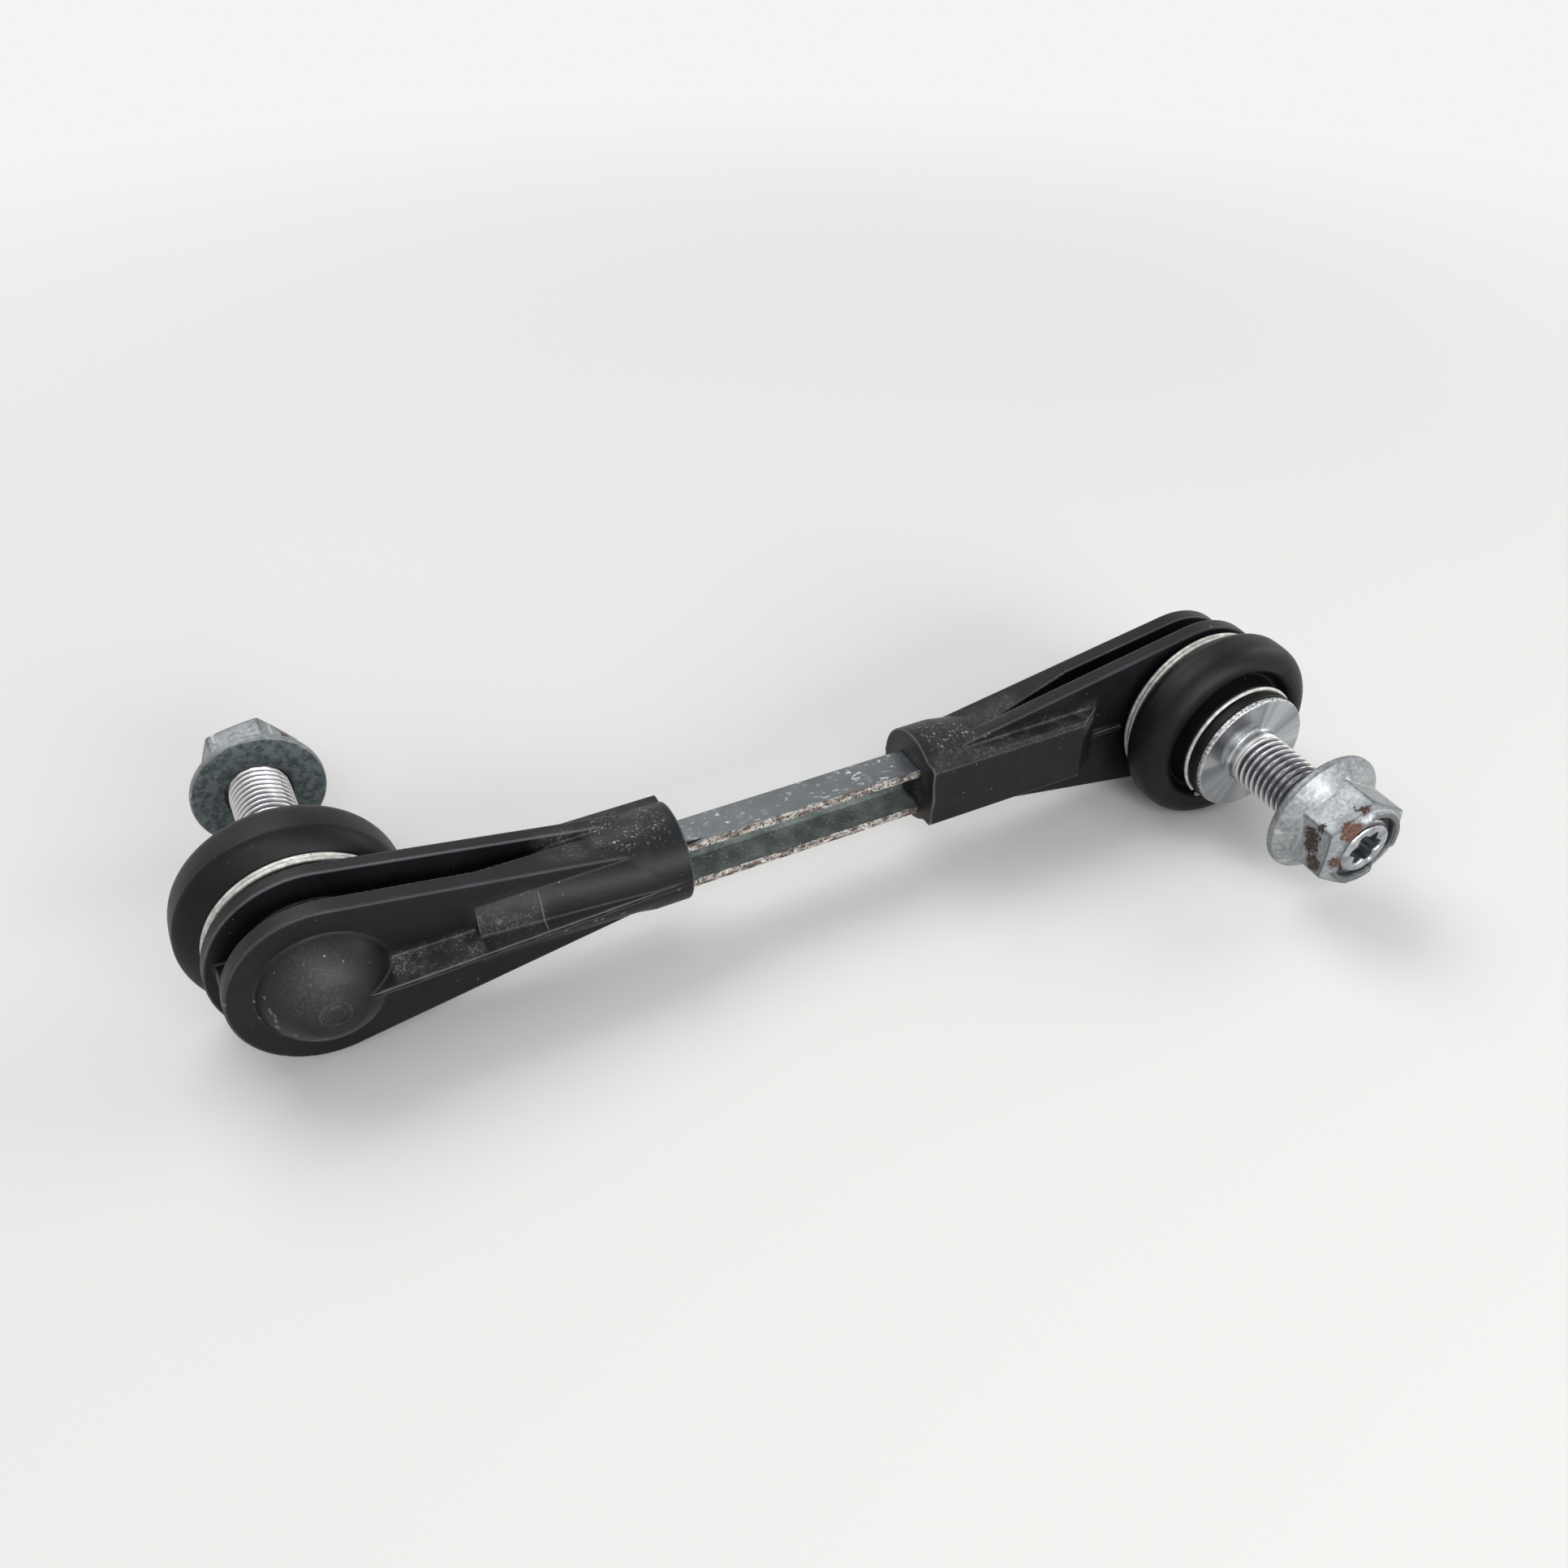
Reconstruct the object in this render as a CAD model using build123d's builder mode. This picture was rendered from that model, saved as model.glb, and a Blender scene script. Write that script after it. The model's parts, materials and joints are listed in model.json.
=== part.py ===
# Stabiliser drop link: a pressed steel channel with a moulded ball joint housing on each end.
# Millimetres. X runs along the link, Z is up. The origin is midway between the two ball centres.
# Each end is drawn in its own frame first: origin at the ball centre, X toward the bar, Y along the stud.
# End a keeps that frame, end b is end a turned half a turn about Z, so the studs point opposite ways.
import os
from math import atan, cos, radians, sin, sqrt, tan

from build123d import *

os.makedirs("parts", exist_ok=True)

# Link
ball_spacing = 185.2  # between the two ball centres
half_spacing = ball_spacing / 2

# Pressed channel bar, open toward -Y
bar_width = 7.9
bar_height = 11.1
bar_wall = 1.8
bar_drop = 1.7  # channel centre below the line through the balls
bar_start = 45.0  # ball centre to the end of the bar, inside the sleeve
channel_gap = 0.6  # plug of the sleeve stays this far off the lower flange
plug_step = 1.5  # length of the gap at the mouth of the sleeve

# Ball stud, distances along the stud axis from the ball centre
ball_r = 8.0
neck_r = 4.6
neck_end = 12.0
cone_end = 19.0
cone_r = 7.0
hub_start = 20.7  # the boot's lip sits on the hub, under the collar
collar_r = 12.95
collar_face = 25.3
collar_thick = 1.3
collar_chamfer = 0.35
collar_overhang = 1.9  # collar past the hub
hub_r = collar_r - collar_overhang
shank_r = 6.0  # plain pilot next to the collar, same as the thread's crests
pilot_end = 28.8
thread_r = 5.5  # the thread is drawn plain, at its pitch radius
shank_end = 58.0
shank_root_fillet = 0.9
shank_tip_chamfer = 0.8
socket_r = 3.2
socket_lobe_r = 0.85
socket_depth = 5.0
lobes = 6

# Bearing shell round the ball
fit_gap = 0.05  # running clearance, ball in shell and nut on thread
shell_r = 10.2
shell_floor = 9.4  # closed end, measured back from the ball centre
shell_chamfer = 3.5  # corner of the closed end
shell_lip = 4.0  # where the shell stops gripping the ball
shell_top = 8.4
shell_flare = 30.0  # half angle of the mouth, lets the neck tilt
mouth_ease = 0.15

# Moulded housing: two plates, a web between them, a cup, a sleeve and a label pad
closed_face = 5.7  # outer face of the closed side plate, at -Y
closed_inner = 2.3
closed_r = 16.7
closed_slope = 0.170  # fall of the plate's edge per mm along the link
stud_inner = 2.2
stud_face = 5.3
stud_plate_r = 18.6
stud_slope = 0.183
rim_fillet = 0.6
rim_stop = 1.0  # edges this near the sleeve's end stay sharp
cut_room = 1.0  # cutting shapes run this far past the solid
cup_r = 13.0
web_half = 4.9
web_taper_start = 30.5  # the groove shallows from here
web_taper_end = 44.0  # the groove is gone from here
groove_close_start = 28.5  # the closed side wall leans across from here
groove_close_end = 51.0
groove_close_y = 1.6
sleeve_r = 9.6
sleeve_end = 66.9
sleeve_round_start = 60.0
sleeve_cone_start = 51.5
sleeve_cone_r = 8.4
dome_base_r = 11.8
dome_bulge_r = 9.5  # radius and height of the dome half way up
dome_bulge_y = 9.2
crown_r = 5.8  # the dome flattens inside this radius
crown_y = 11.9
dome_top_y = 12.9
mark_outer_r = 2.5  # gate mark in the middle of the crown
mark_inner_r = 1.7
mark_depth = 0.35
rib_foot_half = 1.7  # half width of the rib at the plate
rib_edge_half = 0.5
rib_start = 4.0
rib_start_y = 11.9
rib_end_y = 9.7
barrel_start = 26.8
barrel_half = 6.9
barrel_rise_start = 1.8
barrel_rise_end = 4.0
barrel_sink = 1.0  # the barrel's flat side lies this deep in the plate
pad_face = 9.2
pad_half = 6.5
pad_foot = 25.4
pad_top_start = 31.0
pad_chamfer = 0.7
pad_rib_half = 0.6
pad_rib_rise = 0.8
pad_rib_sink = 1.0  # the small rib ends this deep in the pad's foot

# Boot seat on the open side of the cup
seat_r = 15.0
seat_lip_r = 15.8
seat_lip_start = 9.4
seat_top = 10.3
seat_lip_round = 0.3
seat_gap = 0.06  # boot to the housing, the collar and the rings

# Rubber boot and the two wire rings that hold it
boot_wall = 1.9
crest_wall = 2.4  # thicker at the crest
seat_mouth_gap = 0.18  # boot to the edge of the seat, where it leaves the housing
lip_wall = 2.05
lip_r = hub_r + lip_wall
lip_start = 19.9
lip_groove = 0.5  # depth of the groove that the small ring lies in
lip_groove_half = 0.55
lip_groove_side = 0.35
valley_width = 1.6  # from the lip out to the rise of the shoulder
valley_lean = 0.6  # the valley's floor is this much nearer the lip
valley_r = lip_r + valley_width
valley_floor_r = valley_r - valley_lean
valley_t = 16.4
valley_lead = (-0.25, -1)  # the way the wall runs as it reaches the valley
shoulder_width = 1.6  # from the valley out to the crest
boot_top_r = valley_r + shoulder_width
boot_top = 19.4
belly_width = 4.5  # from the crest out to the belly
boot_r = boot_top_r + belly_width
bead_lead = (0.6, 0.8)  # the way the wall leaves the bead
boot_belly_start = 11.8
boot_belly_end = 16.4
bead_wall = 2.05  # rubber between the seat and the large ring
bead_r = seat_r + bead_wall
big_ring_t = 7.6
big_ring_wire = 1.0
big_ring_gap = 0.05  # ring to the bead it lies on
big_ring_r = bead_r + big_ring_wire + big_ring_gap
ring_band_round = 0.4  # corner radius of the two turns' band, in wire widths
small_ring_wire = 0.9
small_ring_t = 21.2
ring_room = 0.5  # small rib of the housing stops this far short of the large ring
lip_groove_r = lip_r - lip_groove

# Flanged lock nut
nut_flats = 18.0
nut_height = 13.0
flange_r = 13.0
flange_edge = 1.6
flange_top_r = 9.6
flange_cone = 4.4
crimp_r = 8.3
crimp_height = 1.1
nut_chamfer = 0.4
flange_ease = 0.4
crimp_ease = 0.5
nut_at_a = 51.6  # flange face of each nut as photographed, from the ball centre
nut_at_b = 45.0
nut_turn_a = -9.7  # turn of each hexagon about its stud, as photographed
nut_turn_b = -30.6

ends = {
    "a": Location((-half_spacing, 0, 0), (0, 0, 0)),
    "b": Location((half_spacing, 0, 0), (0, 0, 180)),
}
nut_at = {"a": nut_at_a, "b": nut_at_b}
nut_turn = {"a": nut_turn_a, "b": nut_turn_b}
bar_half_length = half_spacing - bar_start


def edge_height(radius, slope, x):
    """Height of a plate's straight edge at x, tangent to its round end."""
    return radius / cos(atan(slope)) - slope * x


# Bar: the channel is a C section run along X
with BuildPart() as bar:
    with BuildSketch(Plane.YZ.offset(-bar_half_length)) as channel_section:
        with Locations((0, -bar_drop)):
            Rectangle(bar_width, bar_height)
        with Locations((-bar_wall, -bar_drop)):
            Rectangle(bar_width, bar_height - 2 * bar_wall, mode=Mode.SUBTRACT)
    extrude(amount=2 * bar_half_length)
    heel = bar.edges().filter_by(Axis.X).group_by(Axis.Y)[-1]
    fillet(heel, radius=bar_wall / 2)
bar.part.label = "bar"
export_step(bar.part, "parts/bar.step")


def plate_outline(radius, slope):
    """Round head of a plate with straight sides falling toward the sleeve."""
    lean = atan(slope)
    touch_x = radius * sin(lean)
    touch_z = radius * cos(lean)
    end_z = edge_height(radius, slope, sleeve_end)
    with BuildSketch() as outline:
        with BuildLine():
            Line((touch_x, touch_z), (sleeve_end, end_z))
            Line((sleeve_end, end_z), (sleeve_end, -end_z))
            Line((sleeve_end, -end_z), (touch_x, -touch_z))
            ThreePointArc((touch_x, -touch_z), (-radius, 0), (touch_x, touch_z))
        make_face()
    return outline.sketch


closed_outline = plate_outline(closed_r, closed_slope)
stud_outline = plate_outline(stud_plate_r, stud_slope)


# Sketches on this plane have X toward the bar and Y up; its normal points at -Y
side_plane = Plane(origin=(0, 0, 0), x_dir=(1, 0, 0), z_dir=(0, -1, 0))

with BuildPart() as housing:
    # closed side plate
    with BuildSketch(side_plane.offset(closed_inner)):
        add(closed_outline)
    extrude(amount=closed_face - closed_inner)
    rim = housing.edges().filter_by(lambda e: e.center().Y < -closed_inner - rim_fillet)
    rim = rim.filter_by(lambda e: e.center().X < sleeve_end - rim_stop)
    fillet(rim, radius=rim_fillet)
    # stud side plate
    with BuildSketch(side_plane.offset(-stud_face)):
        add(stud_outline)
    extrude(amount=stud_face - stud_inner)
    rim = housing.edges().filter_by(lambda e: e.center().Y > stud_face - rim_fillet / 2)
    rim = rim.filter_by(lambda e: e.center().X < sleeve_end - rim_stop)
    fillet(rim, radius=rim_fillet)
    # wedge that closes the groove toward the sleeve
    with BuildSketch(Plane.XY) as wedge:
        with BuildLine():
            Polyline(
                (groove_close_start, -closed_inner),
                (groove_close_end, groove_close_y),
                (groove_close_end, stud_inner),
                (sleeve_end, stud_inner),
                (sleeve_end, -closed_inner),
                close=True,
            )
        make_face()
    wedge_half = edge_height(closed_r, closed_slope, groove_close_start)
    wedge_end_half = edge_height(closed_r, closed_slope, sleeve_end)
    extrude(amount=wedge_half, both=True)
    # trim the wedge to the closed plate's outline
    with BuildSketch(side_plane.offset(closed_inner)) as above_plate:
        for side in (1, -1):
            with BuildLine():
                Polyline(
                    (groove_close_start, side * wedge_half),
                    (sleeve_end, side * wedge_end_half),
                    (sleeve_end + cut_room, side * (wedge_half + cut_room)),
                    (groove_close_start, side * (wedge_half + cut_room)),
                    close=True,
                )
            make_face()
    extrude(amount=-(closed_inner + stud_inner), mode=Mode.SUBTRACT)
    # web and cup between the plates
    with BuildSketch(side_plane.offset(closed_inner)) as core:
        Circle(cup_r)
        with BuildLine():
            Polyline(
                (-closed_r + rim_fillet, -web_half),
                (web_taper_start, -web_half),
                (web_taper_end, -sleeve_cone_r),
                (sleeve_end, -sleeve_cone_r),
                (sleeve_end, sleeve_cone_r),
                (web_taper_end, sleeve_cone_r),
                (web_taper_start, web_half),
                (-closed_r + rim_fillet, web_half),
                close=True,
            )
        make_face()
    extrude(amount=-(closed_inner + stud_inner))
    # round sleeve
    with BuildSketch(Plane.XY) as sleeve_half:
        with BuildLine():
            Polyline(
                (sleeve_cone_start, 0),
                (sleeve_cone_start, sleeve_cone_r),
                (sleeve_round_start, sleeve_r),
                (sleeve_end, sleeve_r),
                (sleeve_end, 0),
                close=True,
            )
        make_face()
    revolve(axis=Axis.X)
    # barrel on the closed side, rising toward the sleeve
    for section_x, rise in ((barrel_start, barrel_rise_start), (sleeve_round_start, barrel_rise_end)):
        with BuildSketch(Plane.YZ.offset(section_x)):
            with BuildLine():
                ThreePointArc(
                    (-closed_face, -barrel_half),
                    (-closed_face - rise, 0),
                    (-closed_face, barrel_half),
                )
                Polyline(
                    (-closed_face, barrel_half),
                    (-closed_face + barrel_sink, barrel_half),
                    (-closed_face + barrel_sink, -barrel_half),
                    (-closed_face, -barrel_half),
                )
            make_face()
    loft()
    # dome over the ball, with a ring mark in its flattened crown
    with BuildSketch(Plane.XY) as dome:
        with BuildLine():
            ThreePointArc(
                (dome_base_r, -closed_face),
                (dome_bulge_r, -dome_bulge_y),
                (crown_r, -crown_y),
            )
            Polyline(
                (crown_r, -crown_y),
                (mark_outer_r, -dome_top_y),
                (mark_outer_r, -dome_top_y + mark_depth),
                (mark_inner_r, -dome_top_y + mark_depth),
                (mark_inner_r, -dome_top_y),
                (0, -dome_top_y),
                (0, -closed_inner),
                (dome_base_r, -closed_inner),
                (dome_base_r, -closed_face),
            )
        make_face()
    revolve(axis=Axis.Y)
    # rib from the dome along the barrel to the sleeve, thinner at its edge
    for section_x, edge_y in ((rib_start, rib_start_y), (sleeve_end, rib_end_y)):
        with BuildSketch(Plane.YZ.offset(section_x)):
            with BuildLine():
                Polyline(
                    (-closed_face + barrel_sink, -rib_foot_half),
                    (-closed_face, -rib_foot_half),
                    (-edge_y, -rib_edge_half),
                    (-edge_y, rib_edge_half),
                    (-closed_face, rib_foot_half),
                    (-closed_face + barrel_sink, rib_foot_half),
                    close=True,
                )
            make_face()
    loft()
    # label pad and its small rib on the stud side
    with BuildSketch(Plane.XY) as pad:
        with BuildLine():
            Polyline(
                (pad_foot, stud_inner),
                (pad_foot, stud_face),
                (pad_top_start, pad_face),
                (sleeve_end, pad_face),
                (sleeve_end, stud_inner),
                close=True,
            )
        make_face()
    extrude(amount=pad_half + pad_chamfer, both=True)
    pad_long = housing.edges().filter_by(Axis.X).filter_by(lambda e: e.center().Y > pad_face - 0.1)
    chamfer(pad_long, length=pad_chamfer)
    with BuildSketch(Plane.XY) as pad_rib:
        with BuildLine():
            Polyline(
                (big_ring_r + ring_room, stud_inner),
                (big_ring_r + ring_room, stud_face + pad_rib_rise),
                (pad_foot + pad_rib_sink, stud_face + pad_rib_rise),
                (pad_foot + pad_rib_sink, stud_inner),
                close=True,
            )
        make_face()
    extrude(amount=pad_rib_half, both=True)
    # cup neck with the seat that the boot grips
    with BuildSketch(Plane.XY) as seat:
        with BuildLine():
            Polyline(
                (0, stud_inner),
                (seat_r, stud_inner),
                (seat_r, seat_lip_start),
                (seat_lip_r, seat_lip_start + seat_lip_round),
                (seat_lip_r, seat_top - seat_lip_round),
                (seat_lip_r - seat_lip_round, seat_top),
                (0, seat_top),
                close=True,
            )
        make_face()
    revolve(axis=Axis.Y)
    # room for the bearing shell, then the mouth above it
    with BuildSketch(Plane.XY) as cup_room:
        with BuildLine():
            Polyline(
                (0, -shell_floor),
                (shell_r - shell_chamfer, -shell_floor),
                (shell_r, -shell_floor + shell_chamfer),
                (shell_r, shell_top),
                (shell_r + (seat_top - shell_top) * tan(radians(shell_flare)), seat_top),
                (0, seat_top),
                close=True,
            )
        make_face()
    revolve(axis=Axis.Y, mode=Mode.SUBTRACT)

# Bearing shell: fills the cup room, grips the ball, flares at the mouth
with BuildPart() as shell:
    with BuildSketch(Plane.XY) as shell_body:
        with BuildLine():
            Polyline(
                (0, -shell_floor),
                (shell_r - shell_chamfer, -shell_floor),
                (shell_r, -shell_floor + shell_chamfer),
                (shell_r, shell_top),
                (0, shell_top),
                close=True,
            )
        make_face()
    revolve(axis=Axis.Y)
    Sphere(radius=ball_r + fit_gap, mode=Mode.SUBTRACT)
    lip_mouth_r = sqrt(ball_r**2 - shell_lip**2) + mouth_ease
    with BuildSketch(Plane.XY) as mouth:
        with BuildLine():
            Polyline(
                (0, shell_lip),
                (lip_mouth_r, shell_lip),
                (lip_mouth_r + (shell_top - shell_lip) * tan(radians(shell_flare)), shell_top),
                (0, shell_top),
                close=True,
            )
        make_face()
    revolve(axis=Axis.Y, mode=Mode.SUBTRACT)

# Ball stud: ball, neck, hub, collar, shank and star socket
with BuildPart() as stud:
    with BuildSketch(Plane.XY) as stud_half:
        neck_start = sqrt(ball_r**2 - neck_r**2)
        with BuildLine():
            ThreePointArc((0, -ball_r), (ball_r, 0), (neck_r, neck_start))
            Polyline(
                (neck_r, neck_start),
                (neck_r, neck_end),
                (cone_r, cone_end),
                (cone_r, hub_start),
                (hub_r, hub_start),
                (hub_r, collar_face - collar_thick),
                (collar_r, collar_face - collar_thick),
                (collar_r, collar_face - collar_chamfer),
                (collar_r - collar_chamfer, collar_face),
                (shank_r, collar_face),
                (shank_r, pilot_end),
                (thread_r, pilot_end + shank_r - thread_r),
                (thread_r, shank_end - shank_tip_chamfer),
                (thread_r - shank_tip_chamfer, shank_end),
                (0, shank_end),
                (0, -ball_r),
            )
        make_face()
    revolve(axis=Axis.Y)
    root = stud.edges().filter_by(GeomType.CIRCLE)
    root = root.filter_by(lambda e: abs(e.radius - shank_r) < 0.01)
    root = root.filter_by(lambda e: abs(e.center().Y - collar_face) < 0.1)
    fillet(root, radius=shank_root_fillet)
    with BuildSketch(Plane.XZ.offset(-shank_end)) as star:
        Circle(socket_r - socket_lobe_r)
        with PolarLocations(socket_r - socket_lobe_r, lobes):
            Circle(socket_lobe_r)
    extrude(amount=socket_depth, mode=Mode.SUBTRACT)

# Boot: bead under the large ring, belly, shoulder, valley and the lip round the hub
with BuildPart() as boot:
    with BuildSketch(Plane.XY) as boot_section:
        with BuildLine():
            Polyline(
                (seat_r + seat_gap, stud_face + seat_gap),
                (bead_r, stud_face + seat_gap),
                (bead_r, big_ring_t + big_ring_wire + seat_gap),
                (big_ring_r, big_ring_t + big_ring_wire + seat_gap),
            )
            Spline(
                (big_ring_r, big_ring_t + big_ring_wire + seat_gap),
                (boot_r, boot_belly_start),
                tangents=(bead_lead, (0, 1)),
            )
            Line((boot_r, boot_belly_start), (boot_r, boot_belly_end))
            Spline(
                (boot_r, boot_belly_end),
                (boot_top_r, boot_top),
                (valley_r, valley_t + boot_wall / 2),
                tangents=((0, 1), valley_lead),
            )
            Polyline(
                (valley_r, valley_t + boot_wall / 2),
                (valley_floor_r, valley_t),
                (lip_r, lip_start),
                (lip_groove_r, small_ring_t - lip_groove_half),
                (lip_groove_r, small_ring_t + lip_groove_half),
                (lip_r, small_ring_t + lip_groove_half + lip_groove_side),
                (lip_r, collar_face - collar_thick - seat_gap),
                (hub_r + seat_gap, collar_face - collar_thick - seat_gap),
                (hub_r + seat_gap, hub_start),
                (valley_floor_r - boot_wall, valley_t - boot_wall / 2),
                (valley_r, valley_t - boot_wall),
                (boot_top_r, boot_top - crest_wall),
                (boot_r - boot_wall, boot_belly_end - boot_wall / 2),
                (boot_r - boot_wall, boot_belly_start + boot_wall / 2),
                (seat_lip_r + seat_mouth_gap, seat_top),
                (seat_lip_r + seat_gap, seat_lip_start),
                (seat_r + seat_gap, seat_lip_start - seat_lip_round),
                (seat_r + seat_gap, stud_face + seat_gap),
            )
        make_face()
    revolve(axis=Axis.Y)

# Large ring: two turns of wire side by side, drawn as one band
with BuildPart() as big_ring:
    with BuildSketch(Plane.XY) as band:
        with Locations((big_ring_r - big_ring_wire / 2, big_ring_t)):
            RectangleRounded(big_ring_wire, 2 * big_ring_wire, big_ring_wire * ring_band_round)
    revolve(axis=Axis.Y)

# Small ring: one turn of round wire in the groove of the lip
with BuildPart() as small_ring:
    with BuildSketch(Plane.XY) as wire:
        with Locations((lip_groove_r + seat_gap + small_ring_wire / 2, small_ring_t)):
            Circle(small_ring_wire / 2)
    revolve(axis=Axis.Y)

# Lock nut, flange face at its own origin, hexagon toward +Y
with BuildPart() as nut:
    hexagon_top = nut_height - crimp_height
    nut_plane = Plane(origin=(0, 0, 0), x_dir=(1, 0, 0), z_dir=(0, 1, 0))
    with BuildSketch(nut_plane) as hexagon:
        RegularPolygon(nut_flats / 2, 6, major_radius=False)
    extrude(amount=hexagon_top)
    with BuildSketch(Plane.XY) as hexagon_cone:
        corner_r = nut_flats / 2 / cos(radians(30))
        with BuildLine():
            Polyline(
                (nut_flats / 2, hexagon_top),
                (corner_r + cut_room, hexagon_top),
                (corner_r + cut_room, hexagon_top - nut_chamfer - cut_room),
                (corner_r, hexagon_top - nut_chamfer),
                close=True,
            )
        make_face()
    revolve(axis=Axis.Y, mode=Mode.SUBTRACT)
    with BuildSketch(Plane.XY) as nut_round:
        with BuildLine():
            Polyline(
                (0, 0),
                (flange_r - flange_ease, 0),
                (flange_r, flange_ease),
                (flange_r, flange_edge),
                (flange_top_r, flange_cone),
                (crimp_r, flange_cone),
                (crimp_r, nut_height - crimp_ease),
                (crimp_r - crimp_ease, nut_height),
                (0, nut_height),
                close=True,
            )
        make_face()
    revolve(axis=Axis.Y)
    with BuildSketch(nut_plane) as nut_bore:
        Circle(thread_r + fit_gap)
    extrude(amount=nut_height, mode=Mode.SUBTRACT)

# Place one set of pieces at each end; the housing is moulded round and into the bar
mouth_x = half_spacing - sleeve_end
channel_floor = bar_wall - bar_drop - bar_height / 2
for end, place in ends.items():
    with BuildPart() as housing_end:
        with Locations(place):
            add(housing.part)
        add(bar.part, mode=Mode.SUBTRACT)
        with Locations((0, -bar_wall / 2, channel_floor + channel_gap / 2)):
            Box(2 * (mouth_x + plug_step), bar_width - bar_wall, channel_gap, mode=Mode.SUBTRACT)
    housing_end.part.label = f"housing_{end}"
    export_step(housing_end.part, f"parts/housing_{end}.step")
    pieces = {
        "bearing_shell": shell.part,
        "ball_stud": stud.part,
        "boot": boot.part,
        "boot_ring_large": big_ring.part,
        "boot_ring_small": small_ring.part,
        "lock_nut": nut.part.moved(Location((0, nut_at[end], 0), (0, nut_turn[end], 0))),
    }
    for name, piece in pieces.items():
        placed = piece.moved(place)
        placed.label = f"{name}_{end}"
        export_step(placed, f"parts/{name}_{end}.step")
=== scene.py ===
import json
import math

import bpy
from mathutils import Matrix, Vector


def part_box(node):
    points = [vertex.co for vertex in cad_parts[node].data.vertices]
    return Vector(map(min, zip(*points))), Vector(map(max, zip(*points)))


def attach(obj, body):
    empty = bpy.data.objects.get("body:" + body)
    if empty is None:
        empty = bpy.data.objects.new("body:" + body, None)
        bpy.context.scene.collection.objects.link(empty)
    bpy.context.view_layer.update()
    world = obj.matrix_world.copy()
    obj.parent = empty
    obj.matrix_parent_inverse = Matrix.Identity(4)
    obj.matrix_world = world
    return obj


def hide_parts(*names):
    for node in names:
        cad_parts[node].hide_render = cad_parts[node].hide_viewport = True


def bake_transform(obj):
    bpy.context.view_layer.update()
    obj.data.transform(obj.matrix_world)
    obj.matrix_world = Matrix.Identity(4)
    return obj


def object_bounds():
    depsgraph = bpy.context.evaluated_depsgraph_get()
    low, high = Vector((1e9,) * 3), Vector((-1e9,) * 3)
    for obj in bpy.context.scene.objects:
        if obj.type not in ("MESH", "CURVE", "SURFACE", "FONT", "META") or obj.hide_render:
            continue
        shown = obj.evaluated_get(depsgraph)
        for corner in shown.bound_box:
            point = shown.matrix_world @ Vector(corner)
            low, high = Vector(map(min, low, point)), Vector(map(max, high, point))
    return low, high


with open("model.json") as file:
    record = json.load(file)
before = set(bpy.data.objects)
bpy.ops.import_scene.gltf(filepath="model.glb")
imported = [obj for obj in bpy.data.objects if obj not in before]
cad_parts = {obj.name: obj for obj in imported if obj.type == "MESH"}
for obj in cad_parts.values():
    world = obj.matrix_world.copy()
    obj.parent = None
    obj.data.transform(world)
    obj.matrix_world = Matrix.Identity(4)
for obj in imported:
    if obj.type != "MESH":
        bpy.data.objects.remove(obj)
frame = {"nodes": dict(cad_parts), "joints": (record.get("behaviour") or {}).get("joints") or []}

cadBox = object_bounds()
mm = 0.001
scene = bpy.context.scene
nodes = frame["nodes"]
print("frame loaded:", len(nodes), "nodes")

# Each end has its own frame in mm: origin at the ball, u toward the bar, t along the stud, z up.
# End b is end a turned half a turn about Z.
tilts = [joint for joint in frame["joints"] if joint["name"].startswith("tilt")]
ballAt = {joint["name"][-1]: Vector(joint["pos_m"]) for joint in tilts}
turned = {"a": 1, "b": -1}


def placed(end, point):
    # a point of an end's own frame, in the shared frame in metres
    u, t, z = point
    return (ballAt[end].x + turned[end] * u * mm, turned[end] * t * mm, z * mm)


def roundSize(name, end):
    # radius of a round CAD piece, and its lowest and highest level along the stud, in mm
    low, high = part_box(name + "_" + end)
    levels = sorted(turned[end] * corner[1] / mm for corner in (low, high))
    return (high[0] - low[0]) / 2 / mm, levels[0], levels[1]


def dress(name, material):
    node = nodes[name]
    node.data.materials.clear()
    node.data.materials.append(material)
    return node


def newPiece(name, verts, faces, material, body, creaseAngle):
    mesh = bpy.data.meshes.new(name)
    mesh.from_pydata(verts, [], faces)
    mesh.validate()
    mesh.update()
    mesh.materials.append(material)
    mesh.shade_smooth()
    mesh.set_sharp_from_angle(angle=math.radians(creaseAngle))
    piece = bpy.data.objects.new(name, mesh)
    scene.collection.objects.link(piece)
    if body:  # a piece without a body is left unattached
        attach(piece, body)
    return piece


def skinRings(end, rings, poles=None):
    # joins rings of points, each to the next; the skin closes on a pole at each end, or else on itself
    count = len(rings[0])
    verts = [placed(end, point) for ring in rings for point in ring]
    faces = []
    for i in range(len(rings) - 1 if poles else len(rings)):
        here, there = i * count, (i + 1) % len(rings) * count
        for k in range(count):
            m = (k + 1) % count
            faces.append((here + k, here + m, there + m, there + k))
    if poles:
        lastRing, startPole = len(verts) - count, len(verts)
        verts += [placed(end, pole) for pole in poles]
        faces += [(startPole, (k + 1) % count, k) for k in range(count)]
        faces += [(startPole + 1, lastRing + k, lastRing + (k + 1) % count) for k in range(count)]
    return verts, faces


def circle(count, start=0.0):
    return [start + 2 * math.pi * k / count for k in range(count)]


def ringAt(radius, level, angles):
    # a ring of points round the stud's axis; radius and level are each a number or a function of the angle
    ring = []
    for a in angles:
        r = radius(a) if callable(radius) else radius
        t = level(a) if callable(level) else level
        ring.append((r * math.cos(a), t, r * math.sin(a)))
    return ring


def smoothStep(value, low, high):
    f = min(max((value - low) / (high - low), 0.0), 1.0)
    return f * f * (3 - 2 * f)


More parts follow.
